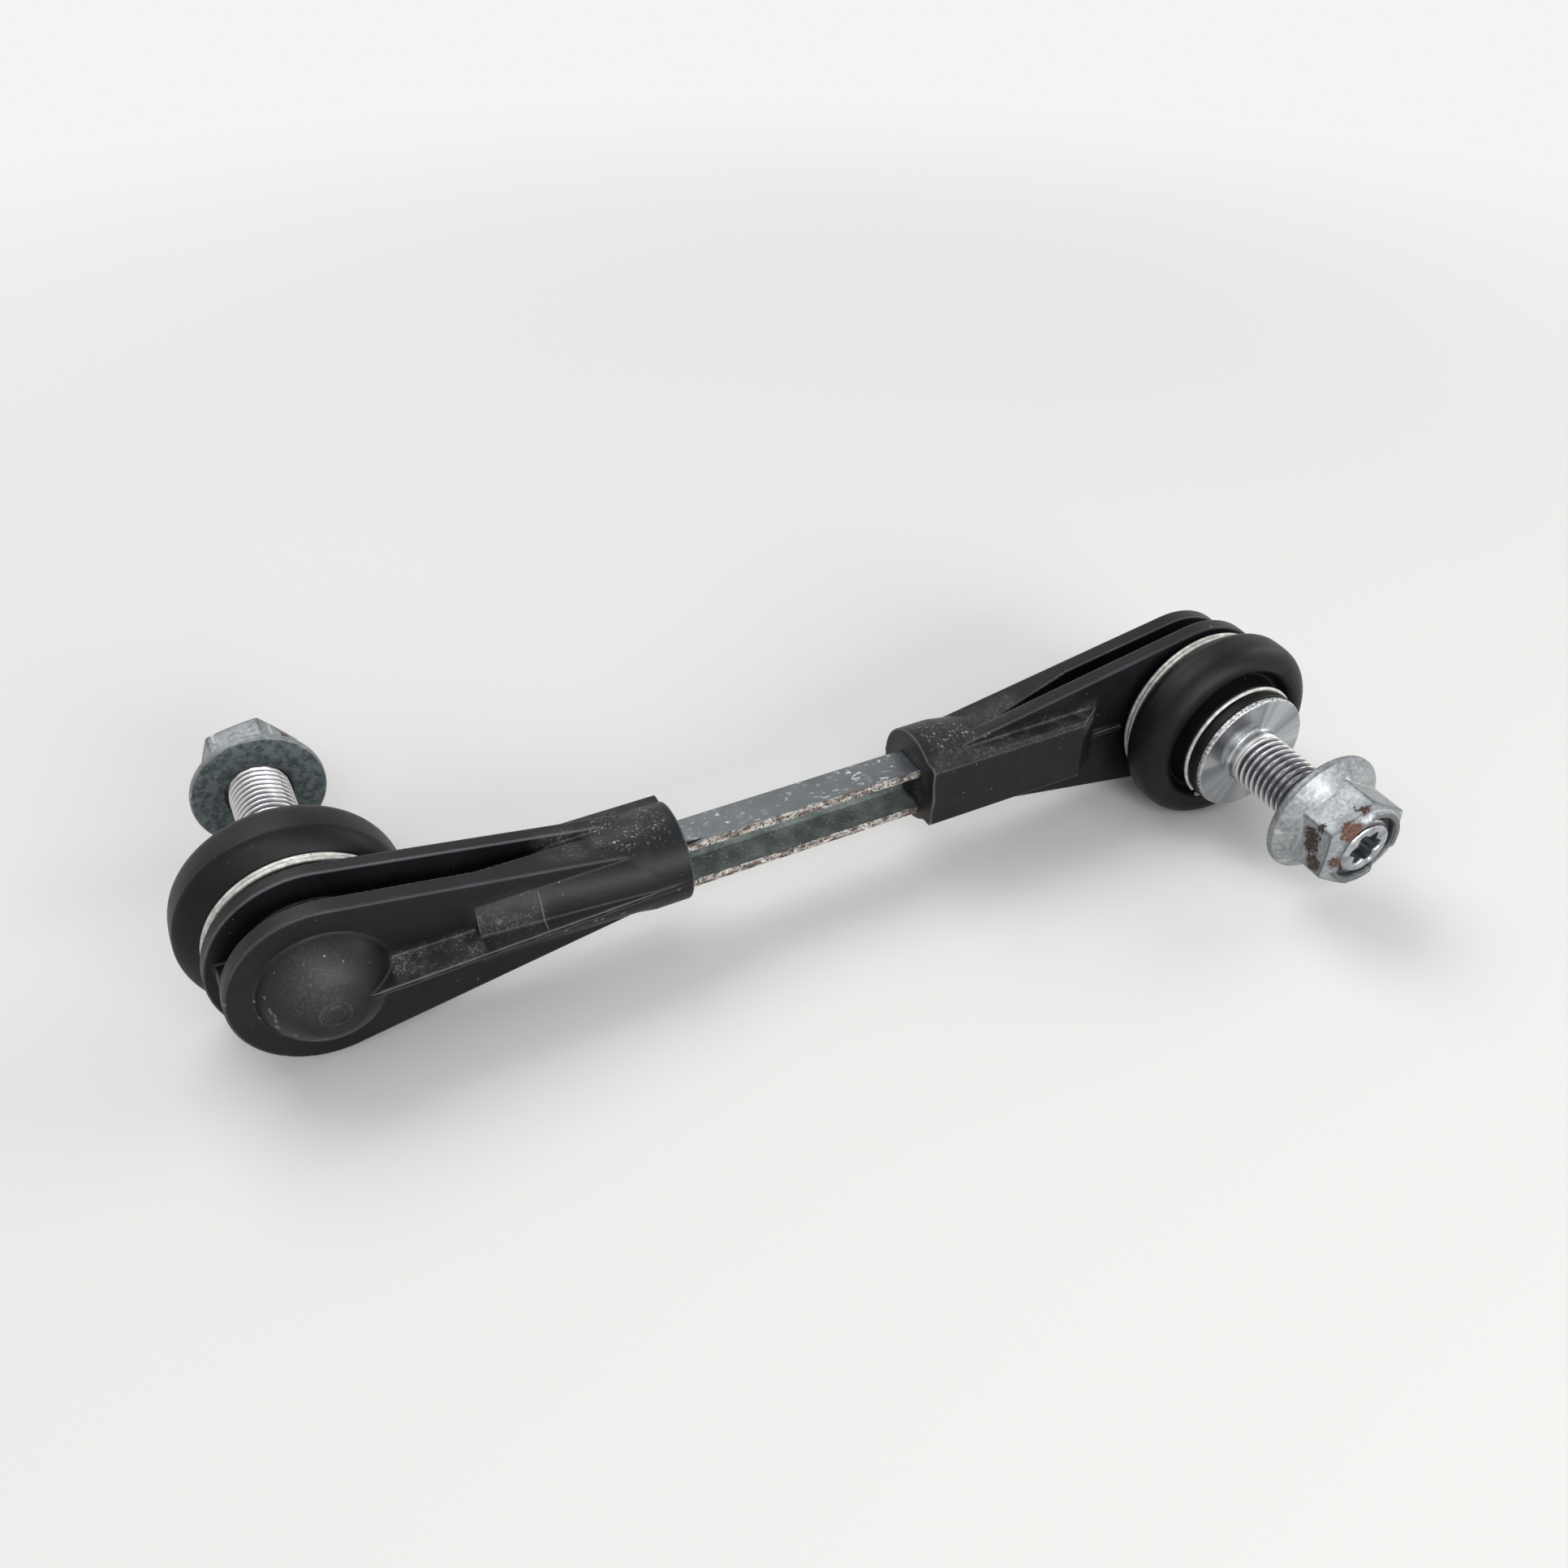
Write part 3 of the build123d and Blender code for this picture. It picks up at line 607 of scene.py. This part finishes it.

# Lock nuts: zinc-flake coated steel, cold forged and dipped. Pale silver grey with soft mottling, dark on the
# seating face, red rust where the coating has gone, a painted highlight on the edges and painted shade in the
# creases and in the gap inside the collar. The collar is pressed in over part of its turn
nut = {
    "base": "#979b9d", "shade": "#787d81", "pale": "#bfc1c0", "pitsAndCreaseShade": "#4d5153", "gap": "#232527",
    "seat": "#687173", "seatDark": "#424b4e", "seatPale": "#7f8885", "rust": "#180f0d", "rustPale": "#63402f",
    "roughness": 0.38, "bumpMm": 0.09, "cloudMm": 3.4, "mottleMm": 0.9, "blotchMm": 1.5,
    "grainMm": 0.32,  # coarser than the real flakes, so that they show
    "cloudBand": (0.38, 0.66), "mottleBand": (0.46, 0.66), "pitBand": (0.42, 0.34), "blotchBand": (0.42, 0.6),
    "seatBand": (0.52, 0.66), "rustBand": (0.66, 0.56), "orangeBand": (0.44, 0.56),
    "hollowBand": (0.495, 0.46), "edgeHighlightBand": (0.51, 0.55),  # of how far the surface bends out or in
    "seatDepth": 0.12, "gapR": 7.15,
    "raggedMm": 4.0, "rustSoft": (1.6, 2.1),  # how ragged a rust spot's edge is, and where that edge lies
    "rustSpots": {  # place in the end's own frame, reach and how orange it is
        "a": [((7.9, 61.5, 4.4), 1.0, 0.3)],
        "b": [
            ((9.0, 52.2, 2.2), 1.75, 0.0), ((9.0, 52.7, 0.0), 1.5, 0.0), ((9.1, 54.4, -2.9), 1.6, 0.1),
            ((8.7, 53.5, 4.9), 0.8, 0.0), ((5.3, 57.6, 5.6), 1.9, 0.9), ((4.2, 57.8, 6.4), 1.3, 0.9),
            ((7.1, 57.7, -1.1), 1.35, 0.5), ((2.0, 56.3, 9.1), 0.8, 0.3), ((3.2, 55.6, 9.2), 0.6, 0.0),
        ],
    },
    "flats": 18.0, "cornerEase": 0.1, "cornerFall": 4 / 15,  # fall of the top, per mm outside the flats
    "boreR": 6.03, "seatR": 6.75, "rimWidth": 0.7, "rimHeight": 0.6,  # the rim's round under side
    "rimTop": ((0.0, 1.2), (0.04, 1.4), (0.12, 1.56), (0.23, 1.67), (0.35, 1.75)),  # in from the rim, level
    "coneSlope": 0.80, "coneCrown": 0.16, "coneEase": 0.05, "hexFoot": 0.04, "hexTop": 11.9, "topEase": 0.12,
    "collarR": 8.25, "collarWall": 1.1, "collarGap": 1.7, "collarFoot": 0.35, "pressedR": 7.1,
    "pressed": ((30, 56), (220, 20)), "pressedSoft": 5,  # middle and half width of each stretch, in degrees
    "hexTurn": {"a": 9.7, "b": 30.6}, "sides": 240, "creaseAngle": 24,
}


def makeZincFlake(end):
    material, tree, where = startMaterial("zincFlakeSteel_" + end)
    flangeR, seatLevel, top = roundSize("lock_nut", end)
    own, u, t, z = ownPlace(tree, where, end)
    clouds = cloud(tree, where, nut["cloudMm"], 4)
    mottle = cloud(tree, where, nut["mottleMm"], 4)
    grains = cloud(tree, where, nut["grainMm"], 3)
    blotches = cloud(tree, where, nut["blotchMm"], 5)
    bend = addNode(tree, "NewGeometry", out="Pointiness")
    seat = within(tree, t, seatLevel - 1, seatLevel + nut["seatDepth"], 0.12)
    inCollar = within(tree, awayFromStud(tree, own), -1, nut["gapR"], 0.1)
    # painted shade: the gap inside the collar, round the stud, is darkened
    gap = allOf(tree, within(tree, t, top - 3, top - 0.7, 0.3), inCollar)

    rusty, orange = 0.0, 0.0
    for spot, reach, warmth in nut["rustSpots"][end]:
        apart = addNode(tree, "VectorMath", own, spot, operation="DISTANCE")
        ragged = addNode(tree, "Math", mottle, -nut["raggedMm"], apart, operation="MULTIPLY_ADD")
        mask = addNode(tree, "MapRange", ragged, *[reach - soft for soft in nut["rustSoft"]])
        rusty = anyOf(tree, mask, rusty)
        orange = anyOf(tree, allOf(tree, mask, warmth), orange)
    rustGrains = addNode(tree, "MapRange", grains, *nut["rustBand"])
    rusty = allOf(tree, rusty, weighed(tree, 0.35, (rustGrains, 0.65)))
    orangeGrains = addNode(tree, "MapRange", grains, *nut["orangeBand"])
    paleRust = weighed(tree, 0.0, (orange, 0.7), (orangeGrains, 0.35))
    rust = coated(tree, nut["rust"], (paleRust, nut["rustPale"]))

    blotched = coated(
        tree, nut["seatDark"],
        (addNode(tree, "MapRange", blotches, *nut["blotchBand"]), nut["seat"]),
        (weighed(tree, 0.0, (addNode(tree, "MapRange", mottle, *nut["seatBand"]), 0.5)), nut["seatPale"]))
    colour = coated(
        tree, nut["shade"],
        (addNode(tree, "MapRange", clouds, *nut["cloudBand"]), nut["base"]),
        (weighed(tree, 0.0, (addNode(tree, "MapRange", mottle, *nut["mottleBand"]), 0.5)), nut["pale"]),
        (weighed(tree, 0.0, (addNode(tree, "MapRange", grains, *nut["pitBand"]), 0.4)), nut["pitsAndCreaseShade"]),
        # painted shade darkens the creases, where the surface bends in
        (weighed(tree, 0.0, (addNode(tree, "MapRange", bend, *nut["hollowBand"]), 0.7)), nut["pitsAndCreaseShade"]),
        # painted highlight on the edges, where the surface bends out
        (weighed(tree, 0.0, (addNode(tree, "MapRange", bend, *nut["edgeHighlightBand"]), 0.7)), nut["pale"]),
        (weighed(tree, 0.0, (gap, 0.85)), nut["gap"]),
        (seat, blotched),
        (rusty, rust))
    metal = weighed(tree, 0.65, (rusty, -0.6), (seat, -0.25))
    rough = weighed(tree, nut["roughness"], (mottle, 0.14), (rusty, 0.35), (seat, 0.12))
    height = weighed(tree, 0.3, (grains, 0.12), (mottle, 0.12), (allOf(tree, rusty, grains), 0.5))
    finishMaterial(tree, colour, rough, height, nut["bumpMm"], Metallic=metal)
    return material


def hexRadius(angle):
    sector = math.radians(60)
    fromFlat = abs((angle % sector) - sector / 2)
    corner = nut["flats"] / 2 / math.cos(sector / 2) - nut["cornerEase"]
    return min(nut["flats"] / 2 / math.cos(fromFlat), corner)


def pressedAt(angle):
    # 1 where the collar is pressed in, 0 where it stands free
    soft = nut["pressedSoft"]
    most = 0.0
    for middle, half in nut["pressed"]:
        gap = abs((math.degrees(angle) - middle + 180) % 360 - 180)
        most = max(most, 1 - smoothStep(gap, half - soft, half + soft))
    return most


def makeNut(end):
    flangeR, base, top = roundSize("lock_nut", end)
    turnBy = math.radians(nut["hexTurn"][end])
    angles = circle(nut["sides"], turnBy)
    hexAt = {a: hexRadius(a - turnBy) for a in angles}
    height = top - base
    coneIn, coneLevel = nut["rimTop"][-1]
    outer = flangeR - coneIn
    rings = []

    def addRing(radius, level):
        rise = (lambda a: base + level(a)) if callable(level) else base + level
        rings.append(ringAt(radius, rise, angles))

    def onCone(a):  # where the flange's cone meets the hexagon
        return coneLevel + nut["coneEase"] + (outer - hexAt[a]) * nut["coneSlope"]

    def wallTop(a):
        return nut["hexTop"] - nut["topEase"] - (hexAt[a] - nut["flats"] / 2) * nut["cornerFall"]

    bore, seat = nut["boreR"], nut["seatR"]
    for r, level in ((bore, 0.9), (bore + 0.05, 0.6), (seat - 0.15, 0.06), (seat, 0.0)):
        addRing(r, level)
    for degrees in (90, 75, 60, 45, 30, 15, 0):
        turn = math.radians(degrees)
        inward = nut["rimWidth"] * (1 - math.cos(turn))
        addRing(flangeR - inward, nut["rimHeight"] * (1 - math.sin(turn)))
    for inward, level in nut["rimTop"]:
        addRing(flangeR - inward, level)
    for f in (0.06, 0.25, 0.5, 0.75, 0.92, 1.0):  # the cone, up to the hexagon
        crown = nut["coneCrown"] * math.sin(math.pi * f)
        addRing(lambda a: outer + (hexAt[a] + nut["hexFoot"] - outer) * f,
                lambda a: coneLevel + (onCone(a) - coneLevel) * f + crown)
    for f in (0.015, 0.1, 0.5, 0.93, 1.0):  # the hexagon's wall
        addRing(lambda a: hexAt[a], lambda a: onCone(a) + (wallTop(a) - onCone(a)) * f)
    for f in (0.1, 0.5, 0.92, 1.0):  # its top, in to the collar
        addRing(lambda a: hexAt[a] + (nut["collarR"] + nut["collarFoot"] - hexAt[a]) * f,
                lambda a: wallTop(a) + (nut["hexTop"] - wallTop(a)) * f)

    free, tight, hexTop = nut["collarR"], nut["pressedR"], nut["hexTop"]
    inner, gapFloor = free - nut["collarWall"], height - nut["collarGap"]
    collar = (  # radius and level where it stands free, then where it is pressed
        (free + 0.02, hexTop + 0.15, free, hexTop + 0.1),
        (free, height - 0.25, tight + 0.45, hexTop + 0.45),
        (free - 0.1, height - 0.06, tight + 0.1, height - 0.38),
        (free - 0.25, height, tight - 0.2, height - 0.25),
        (inner + 0.25, height, bore + 0.3, height - 0.2),
        (inner + 0.06, height - 0.1, bore + 0.1, height - 0.25),
        (inner, height - 0.35, bore + 0.03, height - 0.4),
        (inner - 0.05, gapFloor, bore + 0.01, gapFloor),
    )
    for freeR, freeLevel, tightR, tightLevel in collar:
        addRing(lambda a: freeR + (tightR - freeR) * pressedAt(a),
                lambda a: freeLevel + (tightLevel - freeLevel) * pressedAt(a))
    for r, level in ((bore + 0.2, gapFloor - 0.25), (bore, gapFloor - 0.5), (bore, 6.0)):
        addRing(r, level)
    verts, faces = skinRings(end, rings)
    piece = newPiece("nut_" + end, verts, faces, makeZincFlake(end), "nut_" + end, nut["creaseAngle"])
    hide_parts("lock_nut_" + end)


for end in "ab":
    makeNut(end)
print("nuts made")

# Boots: chloroprene rubber, compression moulded. Near black with a broad soft sheen and a faint parting line.
# One closed wall in two halves that meet at the belly
boot = {
    "base": "#090a0b", "bloom": "#141517", "speck": "#8c8a85",
    "roughness": 0.34, "specular": 0.18, "ior": 1.52, "bumpMm": 0.08,
    "cloudMm": 7.0, "smearMm": 3.0, "smearStretch": (0.5, 1.6, 0.5),
    "grainMm": 0.4, "strayMm": 0.5,  # coarser than real, so that they show
    "bloomBand": (0.38, 0.75), "smearBand": (0.5, 0.72), "strayBand": (0.78, 0.81), "parting": (13.82, 13.98),
    "seatR": 15.06, "beadR": 17.05, "ringTop": 8.66, "split": 13.2, "wall": 1.9,
    "crestR": 16.9, "crest": 19.38, "valleyR": 14.0, "valley": 16.45,
    "lipR": 13.1, "grooveR": 12.6, "groove": 21.2, "hubR": 11.11, "hubStart": 20.7,
    "bellyShift": {"a": (-1.15, 0.75), "b": (0.0, 0.0)},  # boot a is squeezed away from the bar and up
    "crestLift": {"a": 1.4, "b": 0.0},
    "pushFull": 12.5, "pushFades": (17.5, 20.5), "liftFull": 17.5, "liftRadii": (14.2, 17.0),
    "beadHold": 4.0, "lipHold": 0.4,  # lengths of wall at the bead and at the lip
    "sides": 144, "creaseAngle": 60,
}


def makeBootRubber(end):
    material, tree, where = startMaterial("chloropreneRubber_" + end)
    own, u, t, z = ownPlace(tree, where, end)
    clouds = cloud(tree, where, boot["cloudMm"], 4)
    grain = cloud(tree, where, boot["grainMm"], 2)
    stray = addNode(tree, "MapRange", cloud(tree, where, boot["strayMm"], 1), *boot["strayBand"])
    smearNoise = cloud(tree, own, boot["smearMm"], 4, boot["smearStretch"])
    smears = addNode(tree, "MapRange", smearNoise, *boot["smearBand"])
    parting = within(tree, t, *boot["parting"], 0.2)
    colour = coated(
        tree, boot["base"],
        (addNode(tree, "MapRange", clouds, *boot["bloomBand"]), boot["bloom"]),
        (weighed(tree, 0.0, (stray, 0.5)), boot["speck"]))
    rough = weighed(tree, boot["roughness"], (clouds, 0.16), (smears, 0.1))
    height = weighed(tree, 0.2, (grain, 0.25), (smears, 0.05), (parting, 0.3))
    finishMaterial(tree, colour, rough, height, boot["bumpMm"], boot["specular"], IOR=boot["ior"])
    return material


def makeBoot(end):
    bellyR, foot, lipTop = roundSize("boot", end)
    split, groove, innerR = boot["split"], boot["groove"], bellyR - boot["wall"]
    shoulder = (boot["beadR"] + 1.0, boot["ringTop"] + 0.12)
    lowOuter = roundCorners([
        (boot["seatR"], foot), (boot["beadR"], foot), (boot["beadR"], boot["ringTop"], 0.15), shoulder,
    ], 0.3)
    lowOuter += smoothLine([
        shoulder, (19.2, 9.75), (20.15, 10.9), (bellyR - 0.08, 12.1), (bellyR, split)], 6)[1:]
    lowInner = smoothLine([
        (innerR, split), (18.5, 12.0), (17.3, 11.0), (16.15, 10.6), (15.97, 10.0), (15.9, 9.4),
        (boot["seatR"], 9.0), (boot["seatR"], foot)], 4)
    upOuter = smoothLine([
        (bellyR, split), (bellyR, 14.8), (bellyR - 0.22, 16.5), (bellyR - 0.95, 17.9), (bellyR - 2.2, 18.95),
        (boot["crestR"] + 0.4, boot["crest"]), (boot["crestR"] - 0.75, 19.25), (15.3, 18.5), (14.75, 17.4),
        (14.35, 16.65), (boot["valleyR"] - 0.2, boot["valley"]), (13.4, 17.3), (boot["lipR"] + 0.05, 18.7),
        (boot["lipR"], groove - 1.25)], 5)
    lip = roundCorners([
        (boot["lipR"], groove - 1.2), (boot["lipR"], groove - 0.9), (boot["grooveR"], groove - 0.5),
        (boot["grooveR"], groove + 0.5), (boot["lipR"], groove + 0.9), (boot["lipR"], lipTop - 0.02),
        (boot["hubR"], lipTop - 0.02), (boot["hubR"], boot["hubStart"]),
    ], 0.25)
    upInner = smoothLine([
        (boot["hubR"], boot["hubStart"]), (11.6, 18.0), (12.25, 15.7), (13.6, 14.7), (15.0, 15.6),
        (16.3, 16.85), (17.6, 16.85), (18.6, 15.6), (innerR, 14.3), (innerR, split)], 4)

    def squeezed(r, level):
        # the belly is pushed sideways, fading out toward bead and lip, and its crest lifted
        pushU, pushZ = boot["bellyShift"][end]
        push = smoothStep(level, boot["ringTop"], boot["pushFull"])
        push *= 1 - smoothStep(level, *boot["pushFades"])
        lift = boot["crestLift"][end] * smoothStep(level, split, boot["liftFull"])
        lift *= smoothStep(r, *boot["liftRadii"])
        ring = ringAt(r, level + lift, circle(boot["sides"]))
        return [(u + pushU * push, t, z + pushZ * push) for u, t, z in ring]

    flexFrom, flexTo = foot + boot["beadHold"], boot["hubStart"] - boot["lipHold"]
    halves = {
        "Lower": (lowOuter + lowInner[:-1], "link", "tilt_" + end, flexFrom, split),
        "Upper": (upOuter + lip + upInner[1:], "tilt_" + end, "swing_" + end, split, flexTo),
    }
    rubber = makeBootRubber(end)
    for half, (profile, bodyBefore, bodyAfter, *levels) in halves.items():
        verts, faces = skinRings(end, [squeezed(r, level) for r, level in profile])
        piece = newPiece("boot" + half + "_" + end, verts, faces, rubber, None, boot["creaseAngle"])
        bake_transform(piece)
        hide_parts("boot_" + end)


for end in "ab":
    makeBoot(end)
print("boots made")

# Rings: zinc-plated spring wire, drawn. Even light grey with faint draw lines and a few dull spots.
# The large ring is two turns side by side with a short step between them, the small one a single turn
# with a bent end
wire = {
    "base": "#dadad4", "shade": "#b2b3ae", "spot": "#6d6e6b", "roughness": 0.37, "metal": 0.4, "bumpMm": 0.02,
    "cloudMm": 1.6, "spotMm": 0.7,
    "lineMm": 0.3, "lineStretch": (1, 3, 1),  # draw lines, coarser than real
    "cloudBand": (0.4, 0.65), "spotBand": (0.6, 0.68),
    "large": {"from": 0.06, "to": 1.94, "step": (0.95, 1.05), "startAt": 230, "bend": 0.0},
    "small": {"from": 0.0, "to": 0.972, "step": None, "startAt": -42, "bend": 0.55},
    "bendFrom": 0.985, "wireShare": 0.48,  # wire radius as a share of the room for each turn
    "stepsPerTurn": 150, "sides": 16, "creaseAngle": 50,
}


def makeRingWire():
    material, tree, where = startMaterial("drawnSpringWire")
    clouds = cloud(tree, where, wire["cloudMm"])
    lines = cloud(tree, where, wire["lineMm"], 2, wire["lineStretch"])
    spots = addNode(tree, "MapRange", cloud(tree, where, wire["spotMm"], 3), *wire["spotBand"])
    colour = coated(
        tree, wire["shade"],
        (addNode(tree, "MapRange", clouds, *wire["cloudBand"]), wire["base"]),
        (weighed(tree, 0.0, (spots, 0.6)), wire["spot"]))
    rough = weighed(tree, wire["roughness"], (lines, 0.12))
    finishMaterial(tree, colour, rough, lines, wire["bumpMm"], Metallic=wire["metal"])
    return material


def makeRing(name, node, end, run, body, material):
    outerR, low, high = roundSize(node, end)
    room = (high - low) / (2 if run["step"] else 1)  # for each turn
    middle, radius = (low + high) / 2, outerR - room / 2
    steps = int(wire["stepsPerTurn"] * (run["to"] - run["from"]))
    path = []
    for i in range(steps + 1):
        f = i / steps
        turn = run["from"] + (run["to"] - run["from"]) * f
        a = math.radians(run["startAt"]) + 2 * math.pi * turn
        r = radius + run["bend"] * smoothStep(f, wire["bendFrom"], 1.0)
        side = (smoothStep(turn, *run["step"]) - 0.5) * room if run["step"] else 0.0
        path.append(Vector((r * math.cos(a), middle + side, r * math.sin(a))))
    rings = []
    for i, here in enumerate(path):
        ahead = (path[min(i + 1, steps)] - path[max(i - 1, 0)]).normalized()
        outward = Vector((here.x, 0, here.z)).normalized()
        up = ahead.cross(outward).normalized()
        outward = up.cross(ahead)
        ring = []
        for a in circle(wire["sides"]):
            ring.append(tuple(here + (outward * math.cos(a) + up * math.sin(a)) * room * wire["wireShare"]))
        rings.append(ring)
    verts, faces = skinRings(end, rings, (tuple(path[0]), tuple(path[-1])))
    piece = newPiece(name + "_" + end, verts, faces, material, body, wire["creaseAngle"])
    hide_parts(node + "_" + end)


springWire = makeRingWire()
for end in "ab":
    makeRing("ringLarge", "boot_ring_large", end, wire["large"], "link", springWire)
    makeRing("ringSmall", "boot_ring_small", end, wire["small"], "swing_" + end, springWire)
print("rings made")

# Camera at the photograph's place
view = {
    "at": (-0.098773, -0.188664, 0.181873), "turn": (50.5632, -0.415, -26.6809), "lens": 32.8315,
    "sensorWidth": 36.0, "clip": (0.01, 20),
}
cameraData = bpy.data.cameras.new("photoCamera")
cameraData.lens = view["lens"]
cameraData.sensor_width = view["sensorWidth"]
cameraData.clip_start, cameraData.clip_end = view["clip"]
camera = bpy.data.objects.new("photoCamera", cameraData)
camera.location = view["at"]
camera.rotation_euler = [math.radians(d) for d in view["turn"]]
scene.collection.objects.link(camera)
scene.camera = camera

# Studio: pale floor that fades into the backdrop's white, soft sky and soft boxes
studio = {
    "floor": "#e6e6e4", "white": "#f4f4f3", "light": "#ffffff", "sky": 0.33,
    "fadeMm": (240, 620), "floorHalf": 6.0,
    "boxes": {  # place, size and watts
        "key": ((-0.20, 0.45, 0.75), (0.7, 0.5), 3.8),
        "front": ((0.1, -0.95, 0.38), (0.6, 0.35), 5.5),
        "upper": ((-0.28, -0.75, 0.80), (0.4, 0.28), 2.2),
        "low": ((0.42, -0.95, 0.10), (0.5, 0.2), 1.5),
        "side": ((0.8, -0.1, 0.4), (0.5, 0.5), 2.0),
    },
}


def makeFloor():
    half, level = studio["floorHalf"], cadBox[0][2]
    corners = [(-half, -half, level), (half, -half, level), (half, half, level), (-half, half, level)]
    mesh = bpy.data.meshes.new("floor")
    mesh.from_pydata(corners, [], [(0, 1, 2, 3)])
    floor = bpy.data.objects.new("floor", mesh)
    scene.collection.objects.link(floor)
    material, tree, where = startMaterial("paintedFloor")
    away = addNode(tree, "VectorMath", where, operation="LENGTH")
    fade = addNode(tree, "MapRange", away, *studio["fadeMm"], interpolation_type="SMOOTHSTEP")
    matt = addNode(tree, "BsdfDiffuse", studio["floor"])
    glow = addNode(tree, "Emission", studio["white"], 1.0)
    addNode(tree, "OutputMaterial", addNode(tree, "MixShader", fade, matt, glow))
    mesh.materials.append(material)


def makeSky():
    world = bpy.data.worlds.new("studioSky")
    scene.world = world
    world.use_nodes = True
    tree = world.node_tree
    tree.nodes.clear()
    light = addNode(tree, "Background", studio["light"], studio["sky"])
    seen = addNode(tree, "Background", studio["white"], 1.0)
    rays = addNode(tree, "LightPath").node.outputs
    looked = anyOf(tree, rays["Is Camera Ray"], rays["Is Glossy Ray"], rays["Is Transmission Ray"])
    addNode(tree, "OutputWorld", addNode(tree, "MixShader", looked, light, seen))


def makeSoftBox(name, location, size, watts):
    lamp = bpy.data.lights.new(name + "Box", "AREA")
    lamp.shape = "RECTANGLE"
    lamp.size, lamp.size_y = size
    lamp.energy = watts
    box = bpy.data.objects.new(name + "Box", lamp)
    box.location = location
    box.rotation_euler = (-Vector(location)).to_track_quat("-Z", "Y").to_euler()
    scene.collection.objects.link(box)


makeFloor()
makeSky()
for name, softBox in studio["boxes"].items():
    makeSoftBox(name, *softBox)
scene.view_settings.view_transform = "Standard"
print("camera and studio ready")
